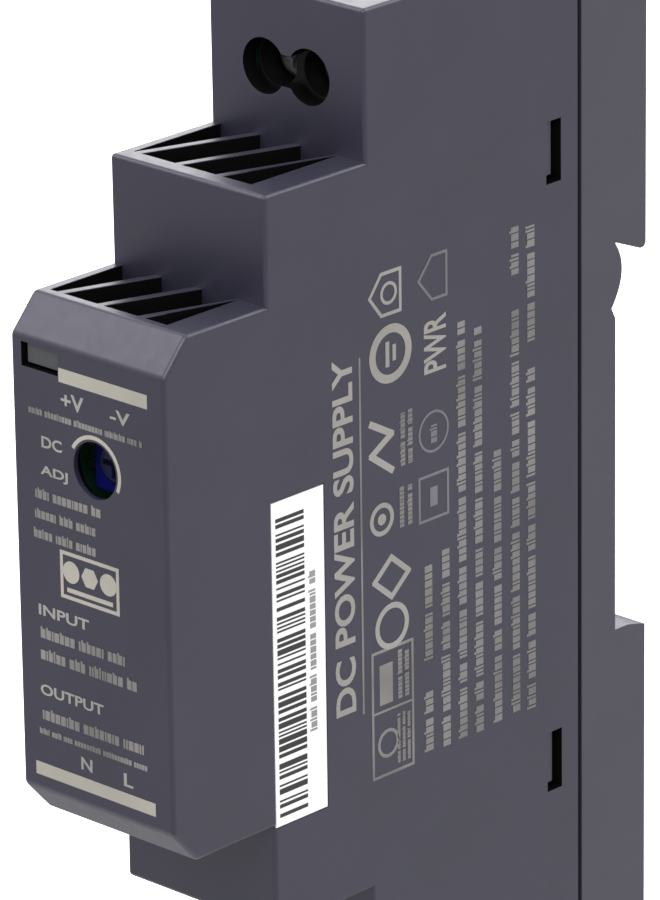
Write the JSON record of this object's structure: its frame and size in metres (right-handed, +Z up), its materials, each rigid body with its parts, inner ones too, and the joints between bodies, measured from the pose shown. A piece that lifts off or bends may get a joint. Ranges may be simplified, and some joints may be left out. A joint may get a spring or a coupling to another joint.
{
  "type": "din rail power supply",
  "caption": "One-module stepped DIN rail power supply with vented shelves, side snap slots, a front trimmer and light window, screw terminals and a sprung rail latch.",
  "frame": {"origin": "centre of the flat seat that rests on the rail's front", "axes": "+Y out of the seat towards the rail, +Z up along the height, +X across the module width"},
  "size_m": [0.0176, 0.0584, 0.09],
  "materials": {
    "case_plastic": "fine-grained dark grey moulded thermoplastic",
    "base_plastic": "fine-grained dark grey moulded thermoplastic",
    "latch_plastic": "smooth dark grey moulded thermoplastic",
    "terminal_plastic": "black moulded thermoplastic",
    "steel": "zinc-plated steel",
    "brass": "plated brass",
    "tinned_copper": "tin-plated copper sheet",
    "label_film": "white printed film",
    "lens": "translucent smoke-grey plastic",
    "led_resin": "clear green-tinted resin",
    "trimmer_case": "glossy dark blue plastic",
    "trimmer_rotor": "grey plastic",
    "board": "green solder-masked glass laminate",
    "black_epoxy": "black moulded epoxy",
    "film_box": "yellow film-capacitor box",
    "blue_coating": "blue epoxy dip coating",
    "green_coating": "dark green phenolic dip coating",
    "black_sleeve": "black shrink sleeve with bare aluminium end",
    "ferrite": "dark grey sintered ferrite",
    "copper_wire": "enamelled copper wire",
    "winding_tape": "yellow polyester winding tape",
    "aluminium": "plain aluminium sheet",
    "resistor_coating": "light blue resistor lacquer",
    "insulation_film": "white insulating film"
  },
  "bodies": {
    "case": {"front_housing": "case_plastic", "rear_base": "base_plastic", "latch_spring": "steel", "barcode_label": "label_film", "led_window": "lens", "power_led": "led_resin", "trimmer_body": "trimmer_case", "main_board": "board", "insulation_sheet": "insulation_film", "fuse": "black_epoxy", "varistor": "blue_coating", "inrush_thermistor": "green_coating", "x_capacitor": "film_box", "choke_bobbin": "terminal_plastic", "choke_winding": "copper_wire", "choke_core": "ferrite", "bridge_rectifier": "black_epoxy", "bulk_capacitor": "black_sleeve", "transformer_core": "ferrite", "transformer_bobbin": "terminal_plastic", "transformer_winding": "winding_tape", "heat_sink": "aluminium", "output_rectifier": "black_epoxy", "switching_transistor": "black_epoxy", "output_capacitor_1": "black_sleeve", "output_capacitor_2": "black_sleeve", "output_inductor_core": "ferrite", "output_inductor_winding": "copper_wire", "y_capacitor": "blue_coating", "optocoupler": "black_epoxy", "feedback_chip": "black_epoxy", "controller_chip": "black_epoxy", "snubber_resistor": "resistor_coating", "output_terminal_block": "terminal_plastic", "output_contact_tab_1": "tinned_copper", "output_contact_tab_2": "tinned_copper", "input_terminal_block": "terminal_plastic", "input_contact_tab_1": "tinned_copper", "input_contact_tab_2": "tinned_copper"},
    "rail_latch": {"rail_latch": "latch_plastic"},
    "trimmer_rotor": {"trimmer_rotor": "trimmer_rotor"},
    "output_terminal_screw_1": {"output_terminal_screw_1": "steel"},
    "output_clamp_cage_1": {"output_clamp_cage_1": "brass"},
    "output_terminal_screw_2": {"output_terminal_screw_2": "steel"},
    "output_clamp_cage_2": {"output_clamp_cage_2": "brass"},
    "input_terminal_screw_1": {"input_terminal_screw_1": "steel"},
    "input_clamp_cage_1": {"input_clamp_cage_1": "brass"},
    "input_terminal_screw_2": {"input_terminal_screw_2": "steel"},
    "input_clamp_cage_2": {"input_clamp_cage_2": "brass"}
  },
  "joints": [
    {"name": "rail_latch_slide", "type": "slide", "parent": "case", "child": "rail_latch", "axis": [0, 0, -1], "range_m": [0, 0.004], "stiffness_N_per_m": 800, "springref_m": -0.0012, "deforming": ["latch_spring"]},
    {"name": "trimmer_turn", "type": "hinge", "parent": "case", "child": "trimmer_rotor", "pos_m": [0.00069, -0.0518, 0.01005], "axis": [0, 1, 0], "range_deg": [-130, 130]},
    {"name": "output_screw_turn_1", "type": "hinge", "parent": "case", "child": "output_terminal_screw_1", "pos_m": [-0.0025, -0.0265, 0.03807], "axis": [0, 1, 0], "range_deg": [0, 1801]},
    {"name": "output_clamp_travel_1", "type": "slide", "parent": "case", "child": "output_clamp_cage_1", "axis": [0, -1, 0], "range_m": [0, 0.0025]},
    {"name": "output_screw_turn_2", "type": "hinge", "parent": "case", "child": "output_terminal_screw_2", "pos_m": [0.0025, -0.0265, 0.03807], "axis": [0, 1, 0], "range_deg": [0, 1801]},
    {"name": "output_clamp_travel_2", "type": "slide", "parent": "case", "child": "output_clamp_cage_2", "axis": [0, -1, 0], "range_m": [0, 0.0025]},
    {"name": "input_screw_turn_1", "type": "hinge", "parent": "case", "child": "input_terminal_screw_1", "pos_m": [-0.0025, -0.0265, -0.03807], "axis": [0, 1, 0], "range_deg": [0, 1801]},
    {"name": "input_clamp_travel_1", "type": "slide", "parent": "case", "child": "input_clamp_cage_1", "axis": [0, -1, 0], "range_m": [0, 0.0025]},
    {"name": "input_screw_turn_2", "type": "hinge", "parent": "case", "child": "input_terminal_screw_2", "pos_m": [0.0025, -0.0265, -0.03807], "axis": [0, 1, 0], "range_deg": [0, 1801]},
    {"name": "input_clamp_travel_2", "type": "slide", "parent": "case", "child": "input_clamp_cage_2", "axis": [0, -1, 0], "range_m": [0, 0.0025]}
  ],
  "couplings": [
    {"joint": "output_screw_turn_1", "follows": "output_clamp_travel_1", "rad_per_m": 12566},
    {"joint": "output_screw_turn_2", "follows": "output_clamp_travel_2", "rad_per_m": 12566},
    {"joint": "input_screw_turn_1", "follows": "input_clamp_travel_1", "rad_per_m": 12566},
    {"joint": "input_screw_turn_2", "follows": "input_clamp_travel_2", "rad_per_m": 12566}
  ]
}
